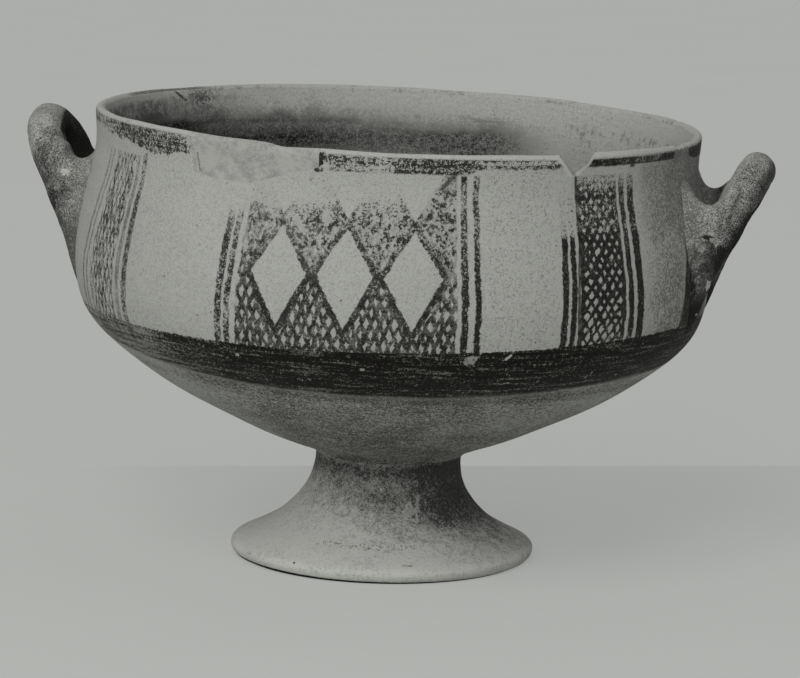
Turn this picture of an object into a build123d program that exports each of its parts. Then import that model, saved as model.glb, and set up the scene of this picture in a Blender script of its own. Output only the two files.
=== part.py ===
from build123d import *
import os
from math import acos, atan2, cos, hypot, radians, sin

# Footed drinking bowl with two loop handles, thrown, luted and later mended.
# Millimetres, +Z up. The origin is the centre of the foot's resting ring,
# the handles stand at -X and +X, and the main painted side faces -Y.

# Foot
foot_ring_radius = 51.4      # outer edge of the ring that touches the ground
foot_edge_swell = 1.6        # how far the flange stands out beyond the ring
foot_edge_height = 3.4       # height of the flange's widest place
foot_height = 38.5           # flat seat of the bowl on the stem
stem_radius = 25.6           # narrowest place of the stem
stem_seat_flare = 2.9        # how far the stem widens again to its seat
foot_wall = 6.5              # clay between the flange and the hollow under it
foot_hollow_depth = 25.0
foot_hollow_nose = 8.0       # radius of the blunt end of the hollow
# Flare from flange to stem: share of the way in from flange to stem, share of the height
flare_shares = ((0.17, 0.177), (0.49, 0.301), (0.785, 0.491), (0.96, 0.699), (1.0, 0.82))

# Bowl, measured upright from its seat on the stem, then leaned on that seat
bowl_lean = 1.26             # degrees, towards +X
belly_radius = 109.7
belly_rise = 61.5            # widest place of the bowl
neck_inset = 5.7             # how far the narrowest place, under the lip, lies inside the belly
lip_flare = 0.6              # how far the lip stands out again beyond that place
lip_height = 10.8            # from the narrowest place to the crown of the lip
bowl_height = 115.3          # crown of the lip
bowl_wall = 4.4
bowl_floor = 6.0
lip_wall = 3.4
lip_crown = 1.5              # rounding of the lip's top
# Lower bowl, share of the way out from seat to belly and up to the belly
flank_shares = ((0.20, 0.099), (0.377, 0.21), (0.59, 0.356), (0.794, 0.541), (0.957, 0.765))
# Upper wall, share of the way in from belly to neck and up to the neck
shoulder_share = 0.62
shoulder_rise_share = 0.66

# Handles, each a rolled coil bent to a loop in a plane that slopes outward
coil_radius = 6.4
loop_half_width = 20.5       # centre of the coil at each root, from the XZ plane
loop_bend_radius = 14.5      # bend at the tip, on the coil's centreline
root_depth = 12.3            # how far the centreline starts inside the belly's radius
root_drop = 9.5              # how far it starts below the belly's height
left_slope = 62.6            # degrees above level
left_reach = 60.0            # from root line to tip, on the centreline
right_slope = 63.2
right_reach = 59.4
# Spread of an arm towards its root: share of the arm's length, then shares of the
# coil's radius for its outer side, its side towards the wall and its half width
root_shares = (
    (0.0, 1.35, 2.9, 1.4),
    (0.22, 1.36, 2.9, 1.38),
    (0.5, 1.12, 2.6, 1.26),
    (0.74, 1.02, 1.65, 1.12),
    (0.9, 1.0, 1.06, 1.02),
)
web_reach = 24.0             # clay smeared up the wall in the crotch, half its length
web_depth = 9.5
web_half_width = 7.6
web_inset = 8.0              # middle of the web inside the belly's radius
web_spread = 19.3            # and from the XZ plane
web_rise = 13.0              # and above the belly's height

# Mends and losses on the front, in the bowl's upright frame
# Places are shares of the rim radius along X and of the bowl's height above its seat
plaster_left_shares = ((-0.498, 0.97), (-0.490, 0.949), (-0.484, 0.893))
plaster_foot_shares = ((-0.396, 0.880), (-0.282, 0.880), (-0.152, 0.919), (-0.063, 0.942))
plaster_top_share = -0.058
sherd_left_shares = ((-0.343, 0.80), (-0.359, 0.68), (-0.367, 0.55))
sherd_foot_shares = ((-0.361, 0.421), (-0.12, 0.406), (0.20, 0.427), (0.50, 0.415), (0.735, 0.435))
sherd_right_shares = ((0.737, 0.46), (0.727, 0.645), (0.717, 0.769), (0.703, 0.825), (0.695, 0.895))
notch_share = 0.684          # where the crack meets the rim, under a V-shaped loss
notch_depth = 4.6
notch_left = 3.9             # from the bottom of the V to its two top corners
notch_right = 5.3
chip_bearing = 15.0          # degrees from +X towards the front
chip_length = 13.0           # shallow bruise across the lip's top
chip_depth = 2.0

overrun = 4.0                # how far cutting shapes pass the clay

bowl_seat = stem_radius + stem_seat_flare
neck_radius = belly_radius - neck_inset
rim_radius = neck_radius + lip_flare
bowl_span = belly_radius + rim_radius
rim_height = foot_height + bowl_height


def lean(shape):
    """Tip a shape made in the bowl's upright frame about its seat on the stem."""
    pivot = Pos(0, 0, foot_height)
    return pivot * Rot(0, bowl_lean, 0) * pivot.inverse() * shape


def bowl_curve(thickness, lip_thickness, floor):
    """One flowing line from seat to lip, at a given depth inside the outer surface."""
    belly = belly_radius - thickness
    neck = neck_radius - thickness
    lip = rim_radius - lip_thickness
    start = foot_height + floor
    rise = belly_rise - floor
    belly_height = foot_height + belly_rise
    neck_height = rim_height - lip_height
    points = [(bowl_seat, start)]
    for out, up in flank_shares:
        points.append((bowl_seat + (belly - bowl_seat) * out, start + rise * up))
    points.append((belly, belly_height))
    shoulder_height = belly_height + (neck_height - belly_height) * shoulder_rise_share
    points.append((belly - (belly - neck) * shoulder_share, shoulder_height))
    points.append((neck, neck_height))
    points.append((lip, rim_height - lip_crown))
    return Spline(*points, tangents=((1, 0.38), (0.08, 1)))


def bowl_section():
    """Half section of the whole bowl, with a stub below its seat to trim level."""
    outer = bowl_curve(0, 0, 0)
    inner = bowl_curve(bowl_wall, lip_wall, bowl_floor)
    crown = ThreePointArc(outer @ 1, (rim_radius - lip_wall / 2, rim_height), inner @ 1)
    stub = foot_height - overrun
    base = Polyline(outer @ 0, (bowl_seat, stub), (0, stub), (0, foot_height + bowl_floor), inner @ 0)
    return Plane.YZ * make_face(Curve() + [outer, crown, inner, base])


def bowl_envelope():
    """The bowl's outer form as one full solid."""
    outer = bowl_curve(0, 0, 0)
    sides = Polyline(outer @ 1, (0, rim_height - lip_crown), (0, foot_height), outer @ 0)
    return revolve(Plane.YZ * make_face(Curve() + [outer, sides]), Axis.Z)


def front_block(places):
    """Block through the front wall, its outline given in shares of the bowl."""
    points = [(rim_radius * across, foot_height + bowl_height * up) for across, up in places]
    outline = Plane.XZ * make_face(Polyline(*points, close=True))
    return extrude(outline, bowl_span, dir=(0, -1, 0))


def over_rim(share):
    """Place above the lip, at a share of the rim radius along X."""
    return (share, 1 + overrun / bowl_height)


def plaster_block():
    """Block of the plaster fill in the rim."""
    top = (over_rim(plaster_top_share), over_rim(plaster_left_shares[0][0]))
    return front_block(plaster_left_shares + plaster_foot_shares + top)


def sherd_block():
    """Block of the rejoined sherd, from under the plaster to the crack."""
    top = (over_rim(notch_share), over_rim(sherd_left_shares[0][0]))
    return front_block(sherd_left_shares + sherd_foot_shares + sherd_right_shares + top)


def rim_losses():
    """The V-shaped loss above the crack and the bruise near the right handle."""
    centre = rim_radius * notch_share
    grow = (notch_depth + overrun) / notch_depth
    top = rim_height + overrun
    corners = [(centre, rim_height - notch_depth)]
    corners += [(centre + notch_right * grow, top), (centre - notch_left * grow, top)]
    notch = extrude(Plane.XZ * make_face(Polyline(*corners, close=True)), bowl_span, dir=(0, -1, 0))
    bruise = scale(Sphere(chip_length / 2), (1, 1, 2 * chip_depth / chip_length))
    return notch + Rot(0, 0, -chip_bearing) * Pos(rim_radius, 0, rim_height) * bruise


def make_bowl_pieces():
    """Wall, plaster and sherd from one thrown body, so that they meet face to face."""
    body = revolve(bowl_section(), Axis.Z) - rim_losses()
    plaster = body & plaster_block()
    sherd = (body & sherd_block()) - plaster_block()
    wall = body - plaster_block() - sherd_block()
    level = Box(2 * bowl_span, 2 * bowl_span, rim_height, align=(Align.CENTER, Align.CENTER, Align.MIN))
    return lean(wall) & Pos(0, 0, foot_height) * level, lean(plaster), lean(sherd)


def make_foot():
    """Flared foot with a flat ring to stand on and a blunt hollow underneath."""
    edge_radius = foot_ring_radius + foot_edge_swell
    run = edge_radius - stem_radius
    flare = [(edge_radius - run * way, foot_height * up) for way, up in flare_shares]
    edge = Spline(
        (foot_ring_radius, 0),
        (edge_radius, foot_edge_height),
        flare[0],
        tangents=((0.6, 1), (-1, 0.55)),
    )
    stem = Spline(*flare, (bowl_seat, foot_height), tangents=((-1, 0.55), (0.9, 1)))
    nose = (foot_hollow_nose, foot_hollow_depth)
    hollow = Spline((foot_ring_radius - foot_wall, 0), nose, tangents=((-0.6, 1), (-0.45, 1)))
    core = Polyline(nose, (0, foot_hollow_depth), (0, foot_height), (bowl_seat, foot_height))
    ring = Line((foot_ring_radius - foot_wall, 0), (foot_ring_radius, 0))
    return revolve(Plane.YZ * make_face(Curve() + [edge, stem, core, hollow, ring]), Axis.Z)


def loop_centreline(side, slope, reach):
    """Arms and bend of a loop in its sloping plane, and the way that plane faces."""
    outward = Vector(side * sin(radians(slope)), 0, -cos(radians(slope)))
    root = (side * (belly_radius - root_depth), 0, foot_height + belly_rise - root_drop)
    plane = Plane(origin=root, x_dir=(0, 1, 0), z_dir=outward * side)
    arm = reach - loop_bend_radius
    tilt = acos(loop_bend_radius / hypot(loop_half_width, arm)) - atan2(arm, loop_half_width)
    bend_x = loop_bend_radius * cos(tilt)
    bend_y = arm + loop_bend_radius * sin(tilt)
    arms = [plane * Line((end * loop_half_width, 0), (end * bend_x, bend_y)) for end in (1, -1)]
    bend = plane * ThreePointArc((bend_x, bend_y), (0, reach), (-bend_x, bend_y))
    return arms, bend, outward


def handle_arm(line, outward):
    """Arm of the loop: round at the bend, spreading into the wall at its root."""
    sections = []
    for along, outer_share, inner_share, width_share in root_shares:
        depth = coil_radius * (outer_share + inner_share) / 2
        shift = coil_radius * (outer_share - inner_share) / 2
        place = Plane(origin=line @ along + outward * shift, x_dir=outward, z_dir=line % along)
        sections.append(place * Ellipse(depth, coil_radius * width_share))
    sections.append(Plane(origin=line @ 1, x_dir=outward, z_dir=line % 1) * Circle(coil_radius))
    return loft(sections)


def root_web(side, end):
    """Clay smeared up the wall between an arm and the bowl, rounding the crotch."""
    smear = scale(Sphere(web_reach), (web_depth / web_reach, web_half_width / web_reach, 1))
    height = foot_height + belly_rise + web_rise
    return Pos(side * (belly_radius - web_inset), end * web_spread, height) * smear


def make_handle(side, slope, reach):
    """Coil loop on one side, its roots spread on the wall and trimmed to it."""
    arms, bend, outward = loop_centreline(side, slope, reach)
    coil = sweep(Plane(origin=bend @ 0, z_dir=bend % 0) * Circle(coil_radius), path=bend)
    for line, end in zip(arms, (1, -1)):
        coil += handle_arm(line, outward)
        coil += root_web(side, end)
    return lean(coil - bowl_envelope())


def write(shape, node):
    export_step(shape, f"parts/{node}.step")


if __name__ == "__main__":
    os.makedirs("parts", exist_ok=True)
    wall, plaster, sherd = make_bowl_pieces()
    write(wall, "bowl")
    write(plaster, "rim_plaster")
    write(sherd, "front_sherd")
    write(make_foot(), "foot")
    write(make_handle(-1, left_slope, left_reach), "handle_left")
    write(make_handle(1, right_slope, right_reach), "handle_right")
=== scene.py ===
import functools
import math

import bmesh
import bpy
import numpy as np
from mathutils import Matrix, Vector
from mathutils import noise as mnoise


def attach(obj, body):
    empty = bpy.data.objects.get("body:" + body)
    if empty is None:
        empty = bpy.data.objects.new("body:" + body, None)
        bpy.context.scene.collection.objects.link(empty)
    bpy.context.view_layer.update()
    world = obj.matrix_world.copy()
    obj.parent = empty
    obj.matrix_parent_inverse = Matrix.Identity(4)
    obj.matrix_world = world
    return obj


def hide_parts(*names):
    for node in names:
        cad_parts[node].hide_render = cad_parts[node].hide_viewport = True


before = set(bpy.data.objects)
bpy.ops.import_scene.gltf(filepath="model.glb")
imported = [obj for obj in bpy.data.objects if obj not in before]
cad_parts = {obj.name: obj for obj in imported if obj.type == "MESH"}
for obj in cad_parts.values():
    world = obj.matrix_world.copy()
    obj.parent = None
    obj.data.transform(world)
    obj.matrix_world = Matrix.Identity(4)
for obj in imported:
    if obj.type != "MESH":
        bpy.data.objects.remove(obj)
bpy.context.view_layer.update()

MM = 0.001

# Sizes of the cup in millimetres, as in the CAD
FOOT_HEIGHT = 38.5
SEAT = 28.5
LEAN = math.radians(1.26)
BELLY, BELLY_RISE = 109.7, 61.5
NECK, LIP_HEIGHT = 104.0, 10.8
RIM, BOWL_HEIGHT = 104.6, 115.3
WALL, FLOOR, LIP_WALL, CROWN = 4.4, 6.0, 3.4, 1.5
RIM_Z = FOOT_HEIGHT + BOWL_HEIGHT
FLANK = ((0.20, 0.099), (0.377, 0.21), (0.59, 0.356), (0.794, 0.541), (0.957, 0.765))
SHOULDER = (0.62, 0.66)
FOOT_RING, FOOT_SWELL, FOOT_EDGE_Z, STEM = 51.4, 1.6, 3.4, 25.6
FOOT_WALL, HOLLOW_DEPTH, HOLLOW_NOSE = 6.5, 25.0, 8.0
# Where the luted joint shows, a little below the bowl's underside
SEAT_Z, SEAT_R = 36.4, 25.7
STEM_SHIFT = 1.8
BOWL_COLUMNS, FOOT_COLUMNS, TRIM_COLUMNS = 700, 420, 480
TRIM_DEPTH = 0.3    # how deep a handle's end goes into the wall's drawn face
CUT_BACK, CUT_FRONT, NOTCH_BACK = -40, -130, -50    # where the cuts through the front wall end
FLARE = ((0.17, 0.177), (0.49, 0.301), (0.785, 0.491), (0.96, 0.699), (1.0, 0.82))


# Curves
def spline(points, first, last, count):
    """Clamped cubic through points, by chord length, as an array of count points."""
    p = np.array(points, float)
    s = np.concatenate(([0], np.cumsum(np.hypot(*np.diff(p, axis=0).T))))
    n = len(p)
    h = np.diff(s)
    ends = [np.array(t, float) / np.hypot(*t) for t in (first, last)]
    A = np.zeros((n, n))
    B = np.zeros((n, 2))
    A[0, 0], A[0, 1] = 2 * h[0], h[0]
    B[0] = 6 * ((p[1] - p[0]) / h[0] - ends[0])
    A[-1, -1], A[-1, -2] = 2 * h[-1], h[-1]
    B[-1] = 6 * (ends[1] - (p[-1] - p[-2]) / h[-1])
    for i in range(1, n - 1):
        A[i, i - 1], A[i, i], A[i, i + 1] = h[i - 1], 2 * (h[i - 1] + h[i]), h[i]
        B[i] = 6 * ((p[i + 1] - p[i]) / h[i] - (p[i] - p[i - 1]) / h[i - 1])
    m = np.linalg.solve(A, B)
    t = np.linspace(0, s[-1], count)
    k = np.clip(np.searchsorted(s, t, side="right") - 1, 0, n - 2)
    a = (s[k + 1] - t)[:, None]
    b = (t - s[k])[:, None]
    hk = h[k][:, None]
    return ((m[k] * a ** 3 + m[k + 1] * b ** 3) / (6 * hk)
            + (p[k] / hk - m[k] * hk / 6) * a + (p[k + 1] / hk - m[k + 1] * hk / 6) * b)


def bowl_line(thick, lip, floor, count):
    belly, neck, rim = BELLY - thick, NECK - thick, RIM - lip
    start, rise = FOOT_HEIGHT + floor, BELLY_RISE - floor
    top = FOOT_HEIGHT + BELLY_RISE
    neck_z = RIM_Z - LIP_HEIGHT
    pts = [(SEAT, start)]
    pts += [(SEAT + (belly - SEAT) * o, start + rise * u) for o, u in FLANK]
    pts += [(belly, top), (belly - (belly - neck) * SHOULDER[0], top + (neck_z - top) * SHOULDER[1])]
    pts += [(neck, neck_z), (rim, RIM_Z - CROWN)]
    return spline(pts, (1, 0.38), (0.08, 1), count)


def arc3(a, b, c, count):
    a, b, c = (np.array(v, float) for v in (a, b, c))
    d = 2 * (a[0] * (b[1] - c[1]) + b[0] * (c[1] - a[1]) + c[0] * (a[1] - b[1]))
    ux = ((a @ a) * (b[1] - c[1]) + (b @ b) * (c[1] - a[1]) + (c @ c) * (a[1] - b[1])) / d
    uy = ((a @ a) * (c[0] - b[0]) + (b @ b) * (a[0] - c[0]) + (c @ c) * (b[0] - a[0])) / d
    t0, t1 = (math.atan2(p[1] - uy, p[0] - ux) for p in (a, c))
    if t1 < t0:
        t1 += 2 * math.pi
    r = math.hypot(a[0] - ux, a[1] - uy)
    t = np.linspace(t0, t1, count)
    return np.stack([ux + r * np.cos(t), uy + r * np.sin(t)], 1)


# Meshes
def link(ob):
    bpy.context.scene.collection.objects.link(ob)
    return ob


def make_object(name, verts_mm, faces, material=None):
    mesh = bpy.data.meshes.new(name)
    mesh.from_pydata((np.asarray(verts_mm) * MM).tolist(), [], faces)
    mesh.update()
    if material:
        mesh.materials.append(material)
    return link(bpy.data.objects.new(name, mesh))


def coords(ob):
    co = np.empty(len(ob.data.vertices) * 3)
    ob.data.vertices.foreach_get("co", co)
    return co.reshape(-1, 3) / MM


def set_coords(ob, co):
    ob.data.vertices.foreach_set("co", (co * MM).ravel())
    ob.data.update()


def add_attribute(ob, name, values):
    at = ob.data.attributes.new(name, "FLOAT", "POINT")
    at.data.foreach_set("value", np.asarray(values, np.float32))


def dress(ob, material, angle):
    """One material, smooth shading, and sharp edges above an angle in degrees."""
    ob.data.materials.clear()
    ob.data.materials.append(material)
    ob.data.polygons.foreach_set("use_smooth", [True] * len(ob.data.polygons))
    ob.data.set_sharp_from_angle(angle=math.radians(angle))
    ob.data.update()


def fbm(p, scale, seed, octaves=3):
    """Smooth noise in -1..1 for each row of p (mm)."""
    q = p * scale + np.array([seed * 17.3, seed * 7.1, seed * 3.7])
    return np.array([mnoise.fractal(v, 1.0, 2.0, octaves) for v in q.tolist()])


def ring_faces(layers, count, first=0):
    """Quads between rings of count points, with the number of each point and of the next one on its ring."""
    idx = first + np.arange(layers * count).reshape(layers, count)
    nxt = np.roll(idx, -1, axis=1)
    return np.stack([idx[:-1], nxt[:-1], nxt[1:], idx[1:]], -1).reshape(-1, 4).tolist(), idx, nxt


def end_fans(idx, nxt, first, last):
    """Triangles that close the first and the last ring, each to a point in its middle."""
    near = [(first, int(b), int(a)) for a, b in zip(idx[0], nxt[0])]
    return near + [(last, int(a), int(b)) for a, b in zip(idx[-1], nxt[-1])]


def revolve_closed(profile, columns, radial):
    """Closed solid of revolution from a profile whose first and last points lie on the axis."""
    ang = np.linspace(0, 2 * math.pi, columns, endpoint=False)
    inner = profile[1:-1]
    r, z = (inner[:, k][:, None] * np.ones(columns) for k in (0, 1))
    r, z = radial(r, z, np.ones_like(r) * ang)
    grid = np.stack([r * np.cos(ang), r * np.sin(ang), z], -1).reshape(-1, 3)
    verts = np.concatenate([[(0, 0, profile[0][1])], grid, [(0, 0, profile[-1][1])]])
    faces, idx, nxt = ring_faces(len(inner), columns, 1)
    return verts, faces + end_fans(idx, nxt, 0, len(verts) - 1)


def tidy_faces(ob):
    """Cut large faces into triangles and turn all faces outward."""
    bm = bmesh.new()
    bm.from_mesh(ob.data)
    bmesh.ops.triangulate(bm, faces=[f for f in bm.faces if len(f.verts) > 4])
    bmesh.ops.recalc_face_normals(bm, faces=bm.faces)
    bm.to_mesh(ob.data)
    bm.free()
    return ob


def layered_prism(name, loops, flip=False):
    """Closed body through equal loops of points."""
    faces, idx, _ = ring_faces(len(loops), len(loops[0]))
    ends = [idx[0].tolist(), idx[-1].tolist()]
    ends[0 if flip else 1].reverse()
    return tidy_faces(make_object(name, np.concatenate(loops), faces + ends))


def front_prism(name, outline):
    """Closed prism with an outline of (x, z) points, through the front wall."""
    return layered_prism(name, [[(x, y, z) for x, z in outline] for y in (CUT_FRONT, CUT_BACK)], flip=True)


def lean_points(p, sign=1):
    """From the bowl's upright frame to the leaned one (sign 1) or back (sign -1)."""
    c, s = math.cos(LEAN), sign * math.sin(LEAN)
    z = p[:, 2] - FOOT_HEIGHT
    out = p.copy()
    out[:, 0] = p[:, 0] * c + z * s
    out[:, 2] = -p[:, 0] * s + z * c + FOOT_HEIGHT
    return out


def apply_modifiers(ob):
    mesh = bpy.data.meshes.new_from_object(ob.evaluated_get(bpy.context.evaluated_depsgraph_get()))
    ob.modifiers.clear()
    ob.data = mesh


def boolean(ob, tool, operation):
    mod = ob.modifiers.new("cut", "BOOLEAN")
    mod.operation = operation
    mod.object = tool
    mod.solver = "MANIFOLD"
    old = ob.data
    apply_modifiers(ob)
    bpy.data.meshes.remove(old)
    return ob


def copy_object(ob, name):
    new = ob.copy()
    new.data = ob.data.copy()
    new.name = name
    return link(new)


def drop(*obs):
    for ob in obs:
        mesh = ob.data
        bpy.data.objects.remove(ob)
        if mesh and mesh.users == 0:
            bpy.data.meshes.remove(mesh)


def wobbly(points, step, amount, seed, grow=0.0):
    """Closed outline resampled at step mm and moved sideways by smooth noise."""
    p = np.array(points, float)
    out = []
    for a, b in zip(p, np.roll(p, -1, axis=0)):
        n = max(1, int(round(np.hypot(*(b - a)) / step)))
        d = (b - a) / max(np.hypot(*(b - a)), 1e-6)
        side = np.array([d[1], -d[0]])
        for k in range(n):
            t = k / n
            at = a + (b - a) * t
            w = amount * min(1.0, min(t, 1 - t) * n * step / 2.0)
            off = mnoise.fractal(Vector((at[0] * 0.35 + seed, at[1] * 0.35, seed * 2.0)), 1.0, 2.0, 3) * w
            out.append(tuple(at + side * (off + grow)))
    return out


# Bowl body
# Rises and dips of the lip, in degrees from the front towards +X and mm
LIP_RUN = ((-180, -0.25), (-150, 0.05), (-120, -0.35), (-95, -0.2), (-70, 0.1), (-46, 0.5), (-30, 0.25), (-17, 0.0),
           (-13.5, -0.2), (-12.2, -0.75), (-10.5, -1.15), (-7.5, -0.9), (-3, -0.7), (12, -0.65), (28, -0.45),
           (40, -0.3), (50, 0.25), (62, 0.0), (74, -0.3), (80, -0.55), (90, -0.35), (115, -0.1), (140, -0.45),
           (160, 0.0), (180, -0.25))


def hand_thrown(r, z, ang):
    """Slight unevenness of a hand-thrown wall and rim, inside the CAD's sizes."""
    up = np.clip((z - FOOT_HEIGHT - 10) / 80, 0, 1)
    wave = 0.22 * np.sin(2 * ang + 0.9) + 0.14 * np.sin(3 * ang + 2.2 + z / 60) + 0.08 * np.sin(7 * ang + z / 25)
    ripple = 0.05 * np.sin(z * 1.15 + 1.5 * np.sin(ang)) + 0.04 * np.sin(z * 2.3 + 2 * ang)
    near_rim = np.clip((z - 128) / 24, 0, 1) ** 2
    psi = (np.degrees(ang) + 270.0) % 360.0 - 180.0
    dip = np.interp(psi, *zip(*LIP_RUN)) + 0.07 * np.sin(11 * ang + 1) + 0.05 * np.sin(23 * ang + 0.4) - 0.08
    return r + up * (wave - 0.35) + ripple * up, z + near_rim * dip


OUTER = bowl_line(0, 0, 0, 74)
INNER = bowl_line(WALL, LIP_WALL, FLOOR, 46)
LIP = arc3(OUTER[-1], (RIM - LIP_WALL / 2, RIM_Z), INNER[-1], 13)
FINE_OUTER = bowl_line(0, 0, 0, 900)
FINE_INNER = bowl_line(WALL, LIP_WALL, FLOOR, 700)


def build_bowl_body():
    steps = ((-0.7, -1.2), (-0.1, -0.4), (0.5, 0.5), (1.5, 1.3))
    base = [(r, SEAT_Z - 1.2) for r in (0, SEAT_R * 0.6)] + [(SEAT_R + dr, SEAT_Z + dz) for dr, dz in steps]
    floor_r = np.linspace(SEAT, 0, 9)[1:]
    floor = [(r, FOOT_HEIGHT + FLOOR - 0.25 * (1 - (r / SEAT) ** 2)) for r in floor_r]
    profile = np.array(base + OUTER.tolist() + LIP.tolist()[1:-1] + INNER[::-1].tolist() + floor)
    verts, faces = revolve_closed(profile, BOWL_COLUMNS, hand_thrown)
    verts = lean_points(verts)
    verts[:, 0] += 1.9 * np.clip((41.0 - verts[:, 2]) / 4.6, 0, 1)
    return make_object("bowl_body", verts, faces)


# Outlines as shares of the rim's radius and the bowl's height, then their ends above the rim, the sideways
# wobble of the break in mm, and the seed of that
MENDS = {
    "plaster": (((-0.498, 0.97), (-0.490, 0.949), (-0.484, 0.893), (-0.396, 0.880), (-0.282, 0.880), (-0.152, 0.919),
                 (-0.063, 0.942)), (-0.058, -0.498), 0.22, 3.0),
    "sherd": (((-0.343, 0.80), (-0.359, 0.68), (-0.367, 0.55), (-0.361, 0.421), (-0.12, 0.406), (0.20, 0.427),
               (0.50, 0.415), (0.735, 0.435), (0.737, 0.46), (0.727, 0.645), (0.717, 0.769), (0.703, 0.825),
               (0.695, 0.895)), (0.684, -0.343), 0.4, 5.0),
}
ABOVE_RIM = 160.0
JOINT_GAP = 0.02
# The loss in the lip, from its middle on the rim, in mm
NOTCH_X = RIM * 0.684
NOTCH = ((-0.1, -7.3), (0.5, -6.3), (2.1, -5.0), (3.8, -3.6), (4.7, -1.9), (5.9, 0.5), (11.0, 7.0), (-10.0, 7.0),
         (-6.6, 0.6), (-4.6, -0.5), (-3.0, -2.4), (-1.4, -5.2))
# Nicks of the lip: bearing from the front, size, and shifts outward and up
NICKS = ((-8.0, 1.3, 1.8, 0.5, 8.0), (8.0, 1.0, 1.8, 0.2, 9.0), (33.0, 1.1, 1.6, 0.4, 10.0),
         (-49.0, 1.2, 1.7, 0.3, 11.0), (52.0, 0.9, 1.8, 0.1, 12.0), (118.0, 2.0, 1.2, 0.6, 13.0),
         (152.0, 1.4, -1.2, 0.5, 14.0), (-127.0, 2.2, 0.6, 0.9, 15.0), (-160.0, 1.2, -1.4, 0.6, 16.0),
         (-98.0, 1.1, 1.5, 0.5, 17.0), (172.0, 1.0, 1.4, 0.4, 18.0))


def mend_outline(which, grow=0.0):
    shares, ends, amount, seed = MENDS[which]
    pts = [(RIM * x, FOOT_HEIGHT + BOWL_HEIGHT * u) for x, u in shares] + [(RIM * x, ABOVE_RIM) for x in ends]
    return wobbly(pts, 0.8, amount, seed, grow)


def notch_outline(step, amount):
    return wobbly([(NOTCH_X + dx, RIM_Z + dz) for dx, dz in NOTCH], step, amount, 1.0)


def leaned(ob):
    set_coords(ob, lean_points(coords(ob)))
    return ob


def rough_cutter(name, loop_xz, y0, y1, seed, amount):
    """Prism with subdivided, crumbled sides, for a broken edge."""
    n = len(loop_xz)
    ys = np.linspace(y0, y1, 26)
    verts = np.array([(x, y, z) for y in ys for x, z in loop_xz], float)
    push = [fbm(verts + shift, 0.28, seed, 4) for shift in (0.0, 31.0)]
    verts[:, 0] += amount * push[0]
    verts[:, 2] += amount * push[1]
    faces, idx, nxt = ring_faces(len(ys), n)
    cx, cz = np.mean([p[0] for p in loop_xz]), np.mean([p[1] for p in loop_xz])
    faces += end_fans(idx, nxt, len(verts), len(verts) + 1)
    verts = np.concatenate([verts, [(cx, y0, cz), (cx, y1, cz)]])
    return tidy_faces(make_object(name, verts, faces))


def chip_cutter(name, centre, size, turn, seed, amount=0.35):
    """Crumbled blob that bites a chip out of an edge. Sizes are half axes."""
    bm = bmesh.new()
    bmesh.ops.create_icosphere(bm, subdivisions=5, radius=1.0)
    co = np.array([v.co[:] for v in bm.verts])
    k = fbm(co * 6, 0.35, seed, 4)
    co = co * (1 + amount * k)[:, None] * np.array(size)
    c, s = math.cos(turn), math.sin(turn)
    co = np.stack([co[:, 0] * c - co[:, 1] * s, co[:, 0] * s + co[:, 1] * c, co[:, 2]], 1) + np.array(centre)
    for v, p in zip(bm.verts, co):
        v.co = p * MM
    mesh = bpy.data.meshes.new(name)
    bm.to_mesh(mesh)
    bm.free()
    return link(bpy.data.objects.new(name, mesh))


def at_rim(psi, dr, dz):
    """Place on the lip's crown, psi degrees from the front towards +X, in the upright frame."""
    a = math.radians(psi)
    r = RIM - LIP_WALL / 2 + dr
    return (r * math.sin(a), -r * math.cos(a), RIM_Z + dz)


def build_bowl_pieces():
    body = build_bowl_body()
    cutters = [rough_cutter("cut_notch", notch_outline(0.6, 0.08), CUT_FRONT, NOTCH_BACK, 2.0, 0.16),
               chip_cutter("cut_bruise", at_rim(75, 1.2, 0.9), (2.6, 6.0, 2.6), math.radians(-15), 4.0)]
    for psi, size, dr, dz, seed in NICKS:
        turn = math.radians(psi - 90)
        cutters.append(chip_cutter("cut_nick", at_rim(psi, dr, dz), (size, size * 1.7, size), turn, seed, 0.5))
    for tool in cutters:
        boolean(body, leaned(tool), "DIFFERENCE")
    drop(*cutters)
    tools = {(which, grow): leaned(front_prism("cut_mend", mend_outline(which, grow)))
             for which in MENDS for grow in (0.0, JOINT_GAP)}
    plaster = boolean(copy_object(body, "rim_plaster_fill"), tools["plaster", 0.0], "INTERSECT")
    sherd = boolean(copy_object(body, "front_sherd_wall"), tools["sherd", 0.0], "INTERSECT")
    boolean(sherd, tools["plaster", JOINT_GAP], "DIFFERENCE")
    body.name = "bowl_wall"
    for which in ("sherd", "plaster"):
        boolean(body, tools[which, JOINT_GAP], "DIFFERENCE")
    drop(*tools.values())
    for ob in (body, sherd, plaster):
        co = coords(ob)
        co[:, 2] = np.maximum(co[:, 2], SEAT_Z)
        set_coords(ob, co)
    return body, sherd, plaster


def nearest(points, line):
    """Distance of each 2-D point to a densely sampled line."""
    out = np.empty(len(points))
    for i in range(0, len(points), 4000):
        d = points[i:i + 4000, None, :] - line[None]
        out[i:i + 4000] = np.sqrt((d ** 2).sum(-1)).min(1)
    return out


def wall_places(co):
    """Points in the bowl's upright frame, with their distances from its drawn outer and inner faces."""
    up = lean_points(co, -1)
    rz = np.stack([np.hypot(up[:, 0], up[:, 1]), up[:, 2]], 1)
    return up, nearest(rz, FINE_OUTER[::2]), nearest(rz, FINE_INNER[::2])


def from_line(up, line):
    """Distance from a line drawn on the front wall, as seen from the front, and which points lie there."""
    front = up[:, 1] < -30
    d = np.full(len(up), 99.0)
    d[front] = nearest(up[front][:, [0, 2]], np.array(line))
    return d, front


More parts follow.
